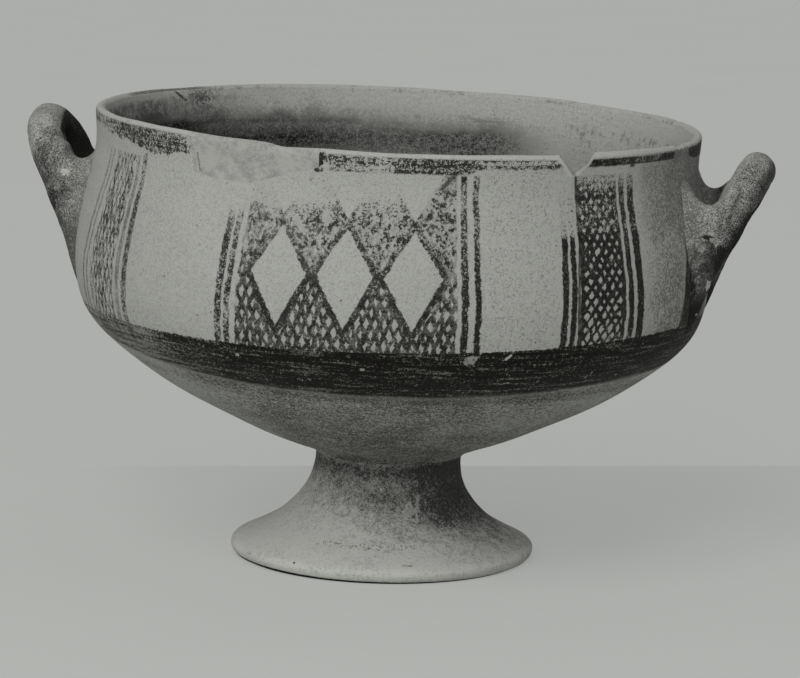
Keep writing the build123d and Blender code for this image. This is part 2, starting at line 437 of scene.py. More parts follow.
def soften_joints(ob, outline, depth, reach, xs, shares):
    """Round the edges of a join: vertices near the outline sink into the wall, by a share for each x."""
    up, d_o, d_i = wall_places(coords(ob))
    line = np.array(outline)
    line = np.concatenate([line + (np.roll(line, -1, axis=0) - line) * t for t in (0, 0.25, 0.5, 0.75)])
    d, front = from_line(up, line)
    w = np.clip(1 - d / reach, 0, 1) ** 2 * depth
    k = 0.6 + 0.8 * (fbm(up, 0.5, 21.0, 3) + 0.3)
    w = w * np.clip(k, 0.15, 1.6) * np.interp(up[:, 0], xs, shares)
    sgn = np.where(d_o < d_i, -1.0, 1.0) * ((d_o < 0.7) | (d_i < 0.7))
    scale = 1 + sgn * w / np.maximum(np.hypot(up[:, 0], up[:, 1]), 1)
    up[:, 0] *= scale
    up[:, 1] *= scale
    set_coords(ob, lean_points(up))
    return np.clip(1 - d / 1.6, 0, 1) * np.interp(up[:, 0], xs, shares) * front


def wall_attributes(ob):
    """side: 1 outside to -1 inside; broken: bare faces of breaks; worn: the notch's edge."""
    up, d_o, d_i = wall_places(coords(ob))
    add_attribute(ob, "side", (d_i - d_o) / np.maximum(d_i + d_o, 1e-3))
    lip = np.clip((up[:, 2] - (RIM_Z - 2.2)) / 1.2, 0, 1)
    broken = np.clip((np.minimum(d_o, d_i) - 0.55) / 0.5, 0, 1) * (1 - lip * 0.65) * (up[:, 2] > FOOT_HEIGHT + 8)
    add_attribute(ob, "broken", broken)
    d, _ = from_line(up, notch_outline(0.3, 0.0))
    add_attribute(ob, "worn", np.clip(1 - d / 1.3, 0, 1) * (up[:, 2] > RIM_Z - 7.5))


# Node helpers
class Sock:
    """A node socket with arithmetic, so that a pattern reads like a formula."""

    def __init__(self, graph, socket):
        self.g = graph
        self.s = socket

    def _op(self, op, *others, reverse=False):
        return self.g.math(op, *((others + (self,)) if reverse else ((self,) + others)))

    def __add__(self, o): return self._op("ADD", o)
    def __radd__(self, o): return self._op("ADD", o)
    def __sub__(self, o): return self._op("SUBTRACT", o)
    def __rsub__(self, o): return self._op("SUBTRACT", o, reverse=True)
    def __mul__(self, o): return self._op("MULTIPLY", o)
    def __rmul__(self, o): return self._op("MULTIPLY", o)
    def __truediv__(self, o): return self._op("DIVIDE", o)
    def __neg__(self): return self._op("MULTIPLY", -1.0)
    def __abs__(self): return self._op("ABSOLUTE")


class Graph:
    def __init__(self, name):
        self.mat = bpy.data.materials.new(name)
        self.mat.use_nodes = True
        self.nt = self.mat.node_tree
        self.nt.nodes.clear()
        self.out = self.nt.nodes.new("ShaderNodeOutputMaterial")
        self.bsdf = self.nt.nodes.new("ShaderNodeBsdfPrincipled")
        self.nt.links.new(self.bsdf.outputs[0], self.out.inputs[0])

    def put(self, node, key, value):
        if isinstance(value, Sock):
            self.nt.links.new(value.s, node.inputs[key])
        elif value is not None:
            node.inputs[key].default_value = value

    def node(self, kind, ins, out=0, **props):
        """One output of a new node, its inputs given by place or name."""
        n = self.nt.nodes.new("ShaderNode" + kind)
        for k, v in props.items():
            setattr(n, k, v)
        for k, v in ins.items():
            self.put(n, k, v)
        return Sock(self, n.outputs[out])

    def math(self, op, *args, clamp=False):
        return self.node("Math", dict(enumerate(args)), operation=op, use_clamp=clamp)

    def clamp(self, a):
        return self.math("ADD", a, 0.0, clamp=True)

    def ramp(self, a, lo, hi, to0=0.0, to1=1.0, smooth=True):
        kind = "SMOOTHSTEP" if smooth else "LINEAR"
        return self.node("MapRange", dict(enumerate((a, lo, hi, to0, to1))), interpolation_type=kind, clamp=True)

    def band(self, a, lo, hi, soft):
        """1 between lo and hi."""
        half = (hi - lo) * 0.5
        return self.ramp(abs(a - (lo + hi) * 0.5), half - soft, half + soft, 1.0, 0.0)

    def place(self):
        """The point being shaded, in mm."""
        return self.vmath("SCALE", self.node("TexCoord", {}, "Object"), 1 / MM)

    def separate(self, vec):
        n = self.nt.nodes.new("ShaderNodeSeparateXYZ")
        self.put(n, 0, vec)
        return [Sock(self, n.outputs[i]) for i in range(3)]

    def combine(self, x, y, z):
        return self.node("CombineXYZ", {0: x, 1: y, 2: z})

    def vmath(self, op, *args, out=0):
        ins = {"Scale" if op == "SCALE" and i else i: a for i, a in enumerate(args)}
        return self.node("VectorMath", ins, out, operation=op)

    def measure(self, op, *args):
        """A vector operation that gives one number."""
        return self.vmath(op, *args, out="Value")

    def table(self, a, pairs):
        """Straight runs through (input, output) pairs."""
        x0, x1 = pairs[0][0], pairs[-1][0]
        y0, y1 = min(p[1] for p in pairs), max(p[1] for p in pairs)
        n = self.nt.nodes.new("ShaderNodeFloatCurve")
        curve = n.mapping.curves[0]
        while len(curve.points) < len(pairs):
            curve.points.new(0.5, 0.5)
        for point, (x, y) in zip(curve.points, pairs):
            point.location = ((x - x0) / (x1 - x0), (y - y0) / (y1 - y0))
            point.handle_type = "VECTOR"
        n.mapping.update()
        self.put(n, "Value", self.math("DIVIDE", a - x0, float(x1 - x0), clamp=True))
        self.put(n, "Factor", 1.0)
        return Sock(self, n.outputs[0]) * (y1 - y0) + y0

    def stroke(self, mm, a, b, half):
        """1 along the line from a to b, half wide to each side, in mm."""
        run = Vector(b) - Vector(a)
        rel = self.vmath("SUBTRACT", mm, a)
        dot = self.measure("DOT_PRODUCT", rel, tuple(run))
        t = self.math("MULTIPLY", dot, 1.0 / run.length_squared, clamp=True)
        gap = self.measure("LENGTH", self.vmath("SUBTRACT", rel, self.vmath("SCALE", tuple(run), t)))
        return self.ramp(gap, half * 0.6, half, 1.0, 0.0)

    def patch(self, mm, centre, size, ragged=0.0):
        """1 inside an ellipsoid of half axes size, its edge moved by ragged."""
        rel = self.vmath("SUBTRACT", mm, centre)
        d = self.measure("LENGTH", self.vmath("MULTIPLY", rel, tuple(1.0 / v for v in size)))
        return self.ramp(d + ragged, 0.8, 1.0, 1.0, 0.0)

    def marks(self, mm, roughs, rows):
        """The strongest of strokes (from, to, half width, strength) and patches (centre, size, ragged, strength).

        The edge of a patch is moved by the roughs, each times its own share in ragged.
        """
        found = []
        for a, b, kind, strength in rows:
            if isinstance(kind, tuple):
                mark = self.patch(mm, a, b, sum(r * k for r, k in zip(roughs, kind)))
            else:
                mark = self.stroke(mm, a, b, kind)
            found.append(mark * strength)
        return self.most(*found)

    def most(self, *values):
        return functools.reduce(lambda a, b: self.math("MAXIMUM", a, b), values)

    def attr(self, name):
        return self.node("Attribute", {}, "Fac", attribute_name=name)

    def noise(self, vec, scale, detail=3.0, rough=0.55, distort=0.0):
        keys = ("Vector", "Scale", "Detail", "Roughness", "Distortion")
        return self.node("TexNoise", dict(zip(keys, (vec, scale, detail, rough, distort))), "Fac")

    def swing(self, vec, *kind):
        """Noise about zero."""
        return self.noise(vec, *kind) - 0.5

    def voronoi(self, vec, scale):
        return self.node("TexVoronoi", {"Vector": vec, "Scale": scale}, "Distance")

    def mix(self, fac, a, b):
        a, b = (v + (1.0,) if isinstance(v, tuple) else v for v in (a, b))
        return self.node("Mix", {0: fac, 6: a, 7: b}, 2, data_type="RGBA")

    def lerp(self, fac, a, b):
        return self.node("Mix", {0: fac, 2: a, 3: b}, data_type="FLOAT")

    def finish(self, color, rough, height, strength, specular):
        keys = ("Base Color", "Roughness", "Normal", "Specular IOR Level")
        normal = self.node("Bump", {"Strength": strength, "Distance": MM, "Height": height})
        for k, v in zip(keys, (color, rough, normal, specular)):
            self.put(self.bsdf, k, v)
        return self.mat


def grey(v, warm=0.0):
    """A nearly neutral tone with the photograph's faint olive cast, redder and less blue where warm."""
    return (v * (0.988 + warm * 0.5), v, v * (0.937 - warm))


# Scale per mm, detail and roughness of the noises fine, grain, blot and broad
WALL_NOISE = (2.3, 2.0, 0.65), (1.0, 2.0, 0.6), (0.34, 3.0, 0.62), (0.055, 3.0, 0.55)
FOOT_NOISE = (2.1, 2.0, 0.65), (0.9, 3.0, 0.6), (0.28, 3.0, 0.6), (0.07, 3.0, 0.55)
SLIP = grey(0.412)
SLIP_DARK = grey(0.15)
PAINT = grey(0.004, 0.3)
PAINT_THIN = grey(0.035, 0.08)
CLAY = grey(0.40)
CLAY_DARK = grey(0.075)
PALE = grey(0.46)
PLASTER_COL = grey(0.385)


def upright(g, mm):
    """x, y, z of a point in the bowl's upright frame, in mm, and its bearing from the front."""
    x, y, z = g.separate(mm)
    c, s = math.cos(LEAN), math.sin(LEAN)
    zz = z - FOOT_HEIGHT
    ux = x * c - zz * s
    uz = x * s + zz * c + FOOT_HEIGHT
    psi = g.math("ARCTAN2", ux, -y) * (180 / math.pi)
    return ux, y, uz, psi


def folded(g, psi0):
    """Whether a bearing is on the far side, and its like on the front."""
    back = g.math("GREATER_THAN", abs(psi0), 90)
    return back, g.lerp(back, psi0, g.math("SIGN", psi0) * 180 - psi0)


def stripe_edge(psi, uz):
    """Degrees past the edge of the dark stripe beside the right handle's root."""
    return psi - (72.6 + (uz - 92.5) * 0.095)


def speck(g, vec, scale, width, seed):
    """Sparse small dots: 1 at a dot."""
    d = g.voronoi(g.vmath("ADD", vec, (seed, seed * 2, seed * 3)), scale)
    return g.ramp(d, width * 0.5, width, 1, 0)


def side_shade_and_stain(g, psi, broad, blot, grain, fine):
    """How dark the slip is beside the right handle, from 0: painted shade on the side turned from the light, with
    some staining.
    """
    return g.most(g.ramp(psi, 57, 72) * (0.66 - broad * 1.8 - blot * 2.2 - grain * 3.2 - fine * 5), 0)


def painted_wall(name):
    """Slip, paint, wear and stains of the bowl's wall, outside and inside, with painted light and shade."""
    g = Graph(name)
    mm = g.place()
    ramp, band, mix, clamp, most = g.ramp, g.band, g.mix, g.clamp, g.most
    ux, uy, uz, psi0 = upright(g, mm)
    # the far side repeats the front's scheme
    back, psi_raw = folded(g, psi0)
    front = 1 - back
    fine, grain, blot, broad = (g.swing(mm, *kind) for kind in WALL_NOISE)
    sway = g.swing(g.vmath("ADD", mm, (57, 13, 5)), 0.16, 2, 0.5)
    psi = psi_raw + sway * 0.9 + grain * 0.7
    z = uz + blot * 1.6 + grain * 0.9

    # thin stripes beside the panels, as shares of each panel's width
    left_l = most(z - 103, 0) * 0.13 - 62.3
    left_r = (z - 95) * 0.018 - 42.9
    wl = (psi - left_l) / (left_r - left_l)
    mid_l = (z - 95) * 0.028 - 21.1
    mid_r = 26 - (z - 93.5) * 0.018
    wm = (psi - mid_l) / (mid_r - mid_l)
    right_r = 60.7 - (z - 94) * 0.036
    wr = (psi - 41) / (right_r - 41)

    def bars(w, soft, *spans):
        return most(*(band(w, lo, hi, soft) * strength for lo, hi, strength in spans))

    bars_l = most(bars(wl, 0.014, (0, 0.05, 0.66), (0.115, 0.16, 0.60)),
                  bars(wl, 0.012, (0.805, 0.872, 0.66), (0.918, 1, 0.95)))
    bars_m = bars(wm, 0.003, (0, 0.0285, 1), (0.0395, 0.064, 1), (0.926, 0.951, 1), (0.9765, 1, 1))
    bars_r = bars(wr, 0.006, (-0.01, 0.058, 1), (0.088, 0.148, 1), (0.757, 0.828, 1), (0.876, 0.97, 1))
    field_l = band(wl, 0.25, 0.765, 0.02)
    field_m = band(wm, 0.086, 0.909, 0.003)
    field_r = band(wr, 0.185, 0.72, 0.007)

    # lozenges of the middle panel
    cell = g.math("FRACT", (psi + 9.3) / 11.65 + 10.5) - 0.5
    q = abs(cell) * (11.65 / 4.95)
    inside3 = band(psi, -15.1, 20, 0.2)
    dz = z - (113.4 + psi * 0.03)
    h = g.lerp(g.math("GREATER_THAN", dz, 0), 17.2, 14.9)
    loz = g.lerp(inside3, 9, q + abs(dz) / h)
    plain = ramp(loz, 0.97, 1.02, 1, 0)
    edge_band = band(loz, 1, 1.25, 0.03)
    # half lozenges above them
    tri = g.lerp(inside3, 9, q + (147 - z) / 15.6)
    plain_top = ramp(tri, 0.96, 1.02, 1, 0) * ramp(z, 129, 130)
    tri_band = band(tri, 1, 1.22, 0.04) * ramp(z, 129.5, 131)

    def dots(px, pz, size):
        """Pale gaps between two sets of slanting brush strokes, px and pz mm apart."""
        sx = psi * 1.87 + sway * 1.5 + blot * 0.6
        sz = z + sway
        a = sx / px + sz / pz
        b = sx / px - sz / pz
        fa = abs(g.math("FRACT", a + 100) - 0.5)
        fb = abs(g.math("FRACT", b + 100) - 0.5)
        cell_of = g.combine(g.math("FLOOR", a + 100), g.math("FLOOR", b + 100), 0)
        own = g.node("TexWhiteNoise", {"Vector": cell_of}, "Value", noise_dimensions="2D")
        limit = size * (0.62 + own * 0.7)
        return ramp(most(fa, fb) - limit, -0.03, 0.06)

    net_m = dots(2.95, 7.3, ramp(z, 92, 130, 0.225, 0.28))
    net_r = most(dots(3.5, 4.6, ramp(z, 92, 126, 0.25, 0.19)),
                 band(wr, 0.18, 0.225, 0.008), band(wr, 0.675, 0.72, 0.008))
    runs = ramp(g.noise(g.combine(psi_raw * 0.95, 3, uz * 0.16), 1, 2, 0.6), 0.52, 0.60)
    net_l = most(dots(2.9, 8.2, 0.335), runs * 0.8)
    clump = ramp(grain * 1.3 + blot * 1.5 + fine * 0.8, -0.05, 0.12)
    worn_top = ramp(z + psi * 0.2, 104, 130, 0.16, 0.74) * front * (1 - edge_band * 0.75)
    mid = g.lerp(worn_top, most(net_m, edge_band, tri_band * 0.8), clump) * field_m
    mid = mid * (1 - plain) * (1 - plain_top)
    top = ramp(z - ramp(psi_raw, -44, -40, 143.2, 146.6), -0.4, 0.4, 1, 0)
    foot = ramp(uz, 80, 81)
    panel = most(bars_l, bars_m, bars_r, mid, net_r * field_r, net_l * field_l) * top * foot

    # how well the paint has lasted: bearings and their soft edge, heights, and what the two add
    lasted = 0.86 - broad * 0.6
    for lo, hi, soft, z0, z1, start, more in (
            (-19.5, 21, 1, 104, 130, -0.03, -0.18), (3, 21.6, 1.5, 131, 137, 0, -0.20),
            (-24, 12, 3, 130, 134, 0, -0.10), (39, 62, 2, 139, 146, 0, -0.42),
            (-66, -41, 2, 132, 145, -0.25, -0.12), (39, 62, 1, 124, 131, 0.14, -0.26),
            (-22.5, -17.4, 0.5, 128, 134, -0.20, -0.30), (21.5, 26.5, 0.8, 105, 122, 0, -0.18),
            (45, 60, 2, 99, 90, 0, -0.30)):
        lasted = lasted + band(psi, lo, hi, soft) * ramp(z, z0, z1, start, start + more)
    lost = band(psi, -24, 13.5, 4) * ramp(z - psi * 0.3, 131, 141) * 0.50
    lost = lost + band(psi, 39, 44.3, 0.6) * ramp(z, 125, 128.5) * 0.55
    saved = band(psi - (z - 131) * 0.38, 14.3, 17.3, 0.8) * ramp(z, 130, 133) * 0.40
    lasted = lasted + saved - lost * front
    tooth = fine * 2.2 + grain * 1.7 + blot * 1.1
    shown = panel * ramp(lasted + tooth, 0.30, 0.66)

    streak = g.swing(g.combine(psi_raw * 0.085, 0, uz * 0.9), 1, 3, 0.7)
    # rim band: ragged and scraped, its lower edge and how much of it has lasted by bearing
    wavy = ramp(psi_raw, -27, -32, 0.25, 1)
    rz = uz + (blot * 5.5 + grain * 3.4 + fine * 1.6) * wavy
    low_edge = g.table(psi_raw, (
        (-90, 150.3), (-64, 149.9), (-57, 148.9), (-50, 148), (-45, 146.8), (-41, 145.5), (-37, 146), (-33, 147),
        (-30, 147.4), (-28, 149.6), (-5, 149.6), (-3, 146.5), (11.5, 147), (20, 146.9), (23.5, 147.4), (25, 148.9),
        (46, 149.2), (48, 149.4), (72, 149.7), (80, 149.4), (84, 147.8), (90, 147.5)))
    rim_last = g.table(psi_raw, (
        (-90, 0.40), (-64, 0.40), (-57, 0.46), (-50, 0.56), (-41, 0.64), (-33, 0.60), (-30.5, 0.35), (-29.4, 0),
        (-2.8, 0), (-1.5, 0.50), (9, 0.46), (10.8, 0.66), (23, 0.68), (25, 0.52), (41, 0.50), (45, 0.50),
        (46.5, 0.92), (58, 0.92), (60, 0.62), (63, 0.50), (66, 0.55), (68, 0.95), (72, 0.95), (72.8, 0), (79, 0),
        (80.5, 0.85), (90, 0.9)))
    rim_high = ramp(psi_raw, -31, -28, 153, 151.9)
    rim_zone = ramp(rz - low_edge, -0.5, 0.3) * ramp(uz + grain * 0.9 + fine * 0.8 - rim_high, -0.3, 0.2, 1, 0)
    split = band(rz, 150.3, 151.3, 0.25) * band(psi_raw, 25, 40, 1) * 0.45
    split = split + band(rz, 147.1, 149.4, 0.3) * band(psi_raw, -3.5, 10, 1) * 0.24
    rim_paint = rim_zone * ramp(rim_last - split - broad * 0.4 + tooth * 1.25 + (streak - 0.02) * 1.2, 0.32, 0.56)
    hair = band(uz + fine * 0.6, 149.4, 149.9, 0.2) * band(psi_raw, 46.5, 72.5, 0.4) * front * 0.9
    drip = ramp(uz, 145.6, 150.5, 0.45, 1.35)
    stub = ramp(abs(psi_raw + 3.7 + grain * 2.6 + blot * 1.5) - drip, -0.25, 0.2, 1, 0)
    stub = stub * band(uz + grain * 2, 145.6, 152.2, 0.3)
    streak_x = band(psi_raw - (uz - 142) * 0.48, 17.8, 18.9, 0.35) * band(uz, 141.7, 147.6, 0.4) * 0.8
    tail = band(psi_raw + grain, 57.3, 58.5, 0.3) * band(uz, 148.4, 152, 0.3) * 0.9
    rim_paint = most(rim_paint, hair, stub * ramp(tooth, -0.7, -0.4), streak_x * front, tail * front)

    # belly band with brush streaks
    band_top = 88.6 + ux * 0.025 + ux * ux * 0.00018
    band_low = 72.1 + (ux - 5) * (ux - 5) * 0.0006
    zz = uz + grain * 1.3 + blot * 1.2
    belly = ramp(zz - band_top, -0.2, 0.2, 1, 0) * ramp(zz - band_low + fine * 2, -1.1, 0.9)

    # dark stripe beside the handle's root
    stripe = ramp(stripe_edge(psi, uz), -0.3, 0.5) * ramp(uz + blot * 12, 128, 114) * ramp(psi, 90, 82)
    stripe = stripe * ramp(tooth + broad, -0.5, -0.1) * ramp(uz, 77, 80) * front

    side = g.attr("side")
    outside = ramp(side, -0.2, 0.3)
    paint = most(shown, rim_paint, stripe)

    # slip with faint stains, fine specks and hairlines, and painted light and shade: darker beside the right handle
    # and to the left, lighter right of the middle
    gritty = band(psi_raw, 26.5, 39, 2) * 1.2 + 1
    stain_light_and_shade = (fine * 1.7 + grain * 0.85) * gritty + blot * 0.32 + broad * 0.26
    # painted light: the blank panel right of the middle a little lighter
    stain_light_and_shade = stain_light_and_shade + band(psi_raw, 27, 38.5, 4) * 0.07
    # painted shade with some staining beside the right handle, and stain-like clouds on the panel there
    shade_and_stain = side_shade_and_stain(g, psi_raw, broad, blot, grain, fine)
    smudge = ramp(psi_raw, 57, 64) * ramp(uz, 112, 134) * 0.34
    shade_and_stain = shade_and_stain + ramp(blot + grain * 0.5 + fine * 0.6, 0, 0.14) * smudge
    # painted shade: the left side a little darker
    stain_light_and_shade = stain_light_and_shade - ramp(psi_raw, -20, -45) * 0.05
    near_rim = ramp(uz, 136, 150) * ramp(blot + grain, 0.02, 0.2) * 0.16
    slip = mix(clamp(shade_and_stain + near_rim + 0.10 - stain_light_and_shade), SLIP, SLIP_DARK)
    spots = speck(g, mm, 0.15, 0.06, 3) + speck(g, mm, 0.40, 0.055, 11) * 0.6
    slip = mix(clamp(spots * 0.85), slip, PAINT_THIN)
    scuff = ramp(g.noise(g.vmath("MULTIPLY", mm, (1, 1, 2.6)), 0.55, 3, 0.75), 0.63, 0.70)
    slip = mix(scuff * ramp(broad, -0.05, 0.12) * 0.30, slip, SLIP_DARK)

    # lower bowl: thin dark wash over the clay, streaked by the wheel, with painted shade darker down towards the
    # stem and painted light to the left
    below = ramp(zz - band_low, -1, 0.6, 1, 0)
    wash_light_and_shade_tone = streak * 0.6 + fine * 4.2 + grain * 2.8 + blot * 0.9 + broad * 1.2 + 0.51
    # painted shade: darker down towards the stem
    wash_light_and_shade_tone = wash_light_and_shade_tone + ramp(uz, 66, 44, 0, 0.30) + band(uz, 69.5, 73.5, 1.2) * 0.30
    # painted light: lighter to the left
    wash_light_and_shade_tone = wash_light_and_shade_tone - ramp(psi_raw, -12, -50) * 0.62 - ramp(psi_raw, 25, 60) * 0.26
    wash_with_light_and_shade = mix(clamp(wash_light_and_shade_tone), CLAY, CLAY_DARK)
    ground = mix(below, slip, wash_with_light_and_shade)

    # paint colour: a little thin on the raised grain; the belly band thins at its left end
    paint_col = mix(clamp(fine * 2.8 + grain * 1.6 + 0.12), PAINT, grey(0.075))
    thin = clamp(streak * 5.6 + fine * 5 + grain * 3.2 + blot - 0.44
                 + ramp(psi_raw, -14, -50, 0, 1.15) + ramp(uz, 77, 73) * 0.2)
    belly_col = mix(thin, PAINT, grey(0.20, 0.04))
    outer = mix(paint, ground, paint_col)
    flecks = ramp(g.noise(g.vmath("ADD", mm, (9, 4, 1)), 0.30, 3, 0.7) + fine * 0.25, 0.66, 0.71)
    gaps = ramp(psi_raw, -28, -62) * ramp(fine + grain * 0.8 + streak, -0.08, 0.08) * 0.72
    outer = mix(belly * (1 - flecks * 0.85) * (1 - gaps), outer, belly_col)
    # bruises, flecks and scratches of the painted side
    light = g.marks(mm, (grain, fine), (
        ((45.6, -97.4, 86.4), (2.3, 2.6, 1.6), (4, 2), 0.6), ((56.4, -91.8, 86.5), (57.9, -91.5, 87.8), 0.6, 1),
        ((7.3, -87.5, 67.8), (0.9, 1.2, 1), (1,), 0.8), ((28.3, -75.8, 62.4), (0.65, 1, 0.6), (), 1),
        ((5.2, -62.5, 53.1), (0.5, 1, 0.4), (), 0.7), ((-7.5, -54.3, 49.4), (0.6, 1.2, 0.4), (), 0.6),
        ((15.2, -84.3, 66), (0.4, 0.8, 0.4), (), 0.7), ((-30.3, -100.5, 84.6), (0.8, 1.2, 0.6), (1,), 0.7),
        ((11.7, -104, 82.6), (1, 1.4, 0.6), (1,), 0.6), ((7.6, -38.5, 42.3), (18.9, -73.4, 59.6), 0.22, 0.35),
        ((53.1, -34.8, 52.3), (59.7, -45.2, 58), 3, 0.16)))
    leaf = g.vmath("SUBTRACT", g.combine(ux, uy, uz + ux * 0.22), (-19.8, -81.3, 60.9))
    leaf = g.measure("LENGTH", g.vmath("MULTIPLY", leaf, (0.34, 0.15, 1.15)))
    light = most(light, band(leaf, 0.72, 1, 0.12) * 0.8)
    outer = mix(light, outer, grey(0.46))
    # dirt in the open crack
    crack = ramp(g.attr("seam") + fine * 0.35, 0.66, 0.84)
    outer = mix(crack * 0.9, outer, PAINT)
    # worn lip
    lip = ramp(uz + blot * 0.8 + grain - rim_high, 0.1, 0.7)
    lip = most(lip, ramp(g.attr("worn") + grain * 0.5, 0.25, 0.5))
    outer = mix(lip, outer, mix(clamp(blot * 2 + fine + 0.12), PALE, SLIP))

    # inside: worn slip above, mottled dark below, lighter towards the right and darker at the far left by the rim
    inner_line = uz + blot * 6 + broad * 14 + grain * 11 + fine * 11 + ux * 0.035
    dark_in = ramp(inner_line, 138, 146.5, 1, 0)
    right_in = ramp(ux, 12, 50) * ramp(uy, 0, 40)
    dark_in = dark_in * (1 - right_in * 0.85 - ramp(ux, -50, 0) * 0.22)
    dark_in = g.math("ADD", dark_in, (blot * 0.9 + fine * 2.4 + grain * 1.5) * dark_in, clamp=True)
    blobs = ramp(blot + grain * 0.6 + broad * 0.8 + fine * 0.3, 0.05, 0.24) * ramp(uz, 149, 143) * 0.5
    streak_in = ramp(g.noise(g.combine(psi0 * 0.05, 9, uz * 0.5), 1, 2, 0.6), 0.54, 0.68)
    dark_in = most(dark_in, blobs, streak_in * ramp(uz, 147, 141) * (1 - right_in) * 0.8)
    left_in = ramp(ux, -62, -88) * ramp(uz, 151.5, 149)
    inner = mix(clamp(0.12 - stain_light_and_shade * 0.8 + left_in * (0.62 - blot * 2)), grey(0.47), grey(0.17))
    turned = g.swing(g.combine(g.math("SQRT", ux * ux + uy * uy) * 0.42, uz * 0.3, psi0 * 0.004), 1, 3, 0.6)
    dark_in_mottle = clamp(0.5 + blot * 1.8 + fine * 2.6 + grain * 1.4 + turned * 3 + broad * 1.6)
    inner = mix(dark_in, inner, mix(dark_in_mottle, grey(0.080), grey(0.012)))
    inner = mix(clamp(speck(g, mm, 0.22, 0.07, 23) * 0.7), inner, PAINT_THIN)
    rim_in = ramp(uz, 151.6, 152.4) * ramp(uz, 153.6, 153.2) * ramp(blot + grain + broad, 0.08, 0.2) * 0.45
    inner = mix(rim_in, inner, PAINT_THIN)
    upright_mm = g.combine(ux, uy, uz)
    marks = g.marks(upright_mm, (grain, fine, blot), (
        ((-90.6, 44, 152.6), (-88, 49, 149), 0.62, ramp(grain + fine, -0.3, 0.05)),
        ((-84, 55.6, 150.6), (4.5, 6, 2.2), (4, 3, 1), 0.6)))
    line_in = band(psi0, -124, -100, 2) * ramp(uz, 152.5, 152.9) * ramp(grain + fine, -0.25, -0.05)
    inner = mix(most(marks, line_in) * 0.9, inner, PAINT)
    colour = mix(outside, inner, outer)
    crumb = g.noise(mm, 0.8, 3, 0.7)
    colour = mix(g.attr("broken"), colour, mix(ramp(crumb, 0.35, 0.65), grey(0.30), grey(0.44)))

    rough = g.lerp(most(paint, belly) * outside, 0.88, 0.66) + grain * 0.3
    height = fine * 0.10 + grain * 0.12 + blot * 0.14 + g.math("SINE", uz * 2.6 + sway * 9) * 0.010
    return g.finish(colour, rough, height, 1, 0.16)


def plaster_material():
    g = Graph("plaster_fill")
    mm = g.place()
    ramp, band, mix, clamp = g.ramp, g.band, g.mix, g.clamp
    fine, blot = g.swing(mm, 2, 3, 0.6), g.swing(mm, 0.22, 3, 0.6)
    swirl = g.swing(g.vmath("MULTIPLY", mm, (1, 1, 1.6)), 0.30, 4, 0.62, 1.6)
    tone = clamp(blot * 1.5 + fine * 0.9 + swirl * 1.5 + 0.22)
    col = mix(tone, PLASTER_COL, grey(0.22))
    vein = band(swirl, -0.012, 0.018, 0.012) * ramp(blot, -0.05, 0.12) * 0.4
    col = mix(clamp(vein + speck(g, mm, 0.45, 0.07, 7) * 0.7), col, grey(0.08))
    flat = g.vmath("MULTIPLY", mm, (1, 0.2, 1))
    split = g.stroke(flat, (-46.9, -18.4, 148.6), (-45.7, -18.5, 142.6), 0.42)
    col = mix(split * ramp(fine, -0.20, 0.15) * 0.8, col, grey(0.05))
    pits = ramp(g.noise(mm, 2.6, 2, 0.5), 0.62, 0.74)
    height = fine * 0.07 + swirl * 0.09 - pits * 0.08 - split * 0.15
    return g.finish(col, 0.93 + fine * 0.08, height, 0.9, 0.2)


